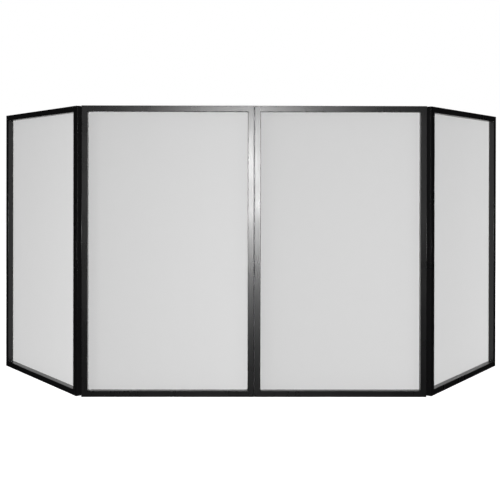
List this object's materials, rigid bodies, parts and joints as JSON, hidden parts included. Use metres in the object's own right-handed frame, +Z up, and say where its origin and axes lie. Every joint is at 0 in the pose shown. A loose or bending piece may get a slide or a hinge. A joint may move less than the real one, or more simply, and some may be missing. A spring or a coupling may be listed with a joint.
{
  "type": "folding panel screen",
  "caption": "Free-standing folding screen: square-tube frames hinged edge to edge, each with a fabric scrim stretched over its back, and the end panels folded back as wings.",
  "frame": {"origin": "on the floor, under the middle of the whole screen as it stands with its wings folded back", "axes": "+X along the centre panels, +Y from their front towards the side that the wings fold back to, +Z up"},
  "size_m": [2.3536, 0.5878, 1.2],
  "materials": {
    "frame_paint": "satin black paint on steel tube",
    "scrim_fabric": "smooth opaque stretch knit, light grey",
    "loop_tape": "brushed loop pile",
    "hook_tape": "light grey hook tape",
    "hinge_steel": "dull zinc-plated hinge strip",
    "pin_steel": "drawn steel wire"
  },
  "bodies": {
    "centre_left": {"centre_left_top_rail": "frame_paint", "centre_left_right_post": "frame_paint", "centre_left_bottom_rail": "frame_paint", "centre_left_left_post": "frame_paint", "centre_left_hook_tape_top": "hook_tape", "centre_left_hook_tape_right": "hook_tape", "centre_left_hook_tape_bottom": "hook_tape", "centre_left_hook_tape_left": "hook_tape", "centre_left_loop_border": "loop_tape", "centre_left_scrim": "scrim_fabric", "left_hinge_centre_leaf": "hinge_steel", "left_hinge_pin": "pin_steel", "centre_hinge_left_leaf": "hinge_steel", "centre_hinge_pin": "pin_steel"},
    "centre_right": {"centre_right_top_rail": "frame_paint", "centre_right_right_post": "frame_paint", "centre_right_bottom_rail": "frame_paint", "centre_right_left_post": "frame_paint", "centre_right_hook_tape_top": "hook_tape", "centre_right_hook_tape_right": "hook_tape", "centre_right_hook_tape_bottom": "hook_tape", "centre_right_hook_tape_left": "hook_tape", "centre_right_loop_border": "loop_tape", "centre_right_scrim": "scrim_fabric", "centre_hinge_right_leaf": "hinge_steel", "right_hinge_centre_leaf": "hinge_steel", "right_hinge_pin": "pin_steel"},
    "left_wing": {"left_wing_top_rail": "frame_paint", "left_wing_right_post": "frame_paint", "left_wing_bottom_rail": "frame_paint", "left_wing_left_post": "frame_paint", "left_wing_hook_tape_top": "hook_tape", "left_wing_hook_tape_right": "hook_tape", "left_wing_hook_tape_bottom": "hook_tape", "left_wing_hook_tape_left": "hook_tape", "left_wing_loop_border": "loop_tape", "left_wing_scrim": "scrim_fabric", "left_hinge_wing_leaf": "hinge_steel"},
    "right_wing": {"right_wing_top_rail": "frame_paint", "right_wing_right_post": "frame_paint", "right_wing_bottom_rail": "frame_paint", "right_wing_left_post": "frame_paint", "right_wing_hook_tape_top": "hook_tape", "right_wing_hook_tape_right": "hook_tape", "right_wing_hook_tape_bottom": "hook_tape", "right_wing_hook_tape_left": "hook_tape", "right_wing_loop_border": "loop_tape", "right_wing_scrim": "scrim_fabric", "right_hinge_wing_leaf": "hinge_steel"}
  },
  "joints": [
    {"name": "centre_fold", "type": "hinge", "parent": "centre_left", "child": "centre_right", "pos_m": [0, -0.29196, 0.6], "axis": [0, 0, -1], "range_deg": [0, 180]},
    {"name": "left_wing_fold", "type": "hinge", "parent": "centre_left", "child": "left_wing", "pos_m": [-0.7125, -0.26036, 0.6], "axis": [0, 0, -1], "range_deg": [-51.5, 128.5]},
    {"name": "right_wing_fold", "type": "hinge", "parent": "centre_right", "child": "right_wing", "pos_m": [0.7125, -0.26036, 0.6], "axis": [0, 0, 1], "range_deg": [-51.5, 128.5]}
  ]
}
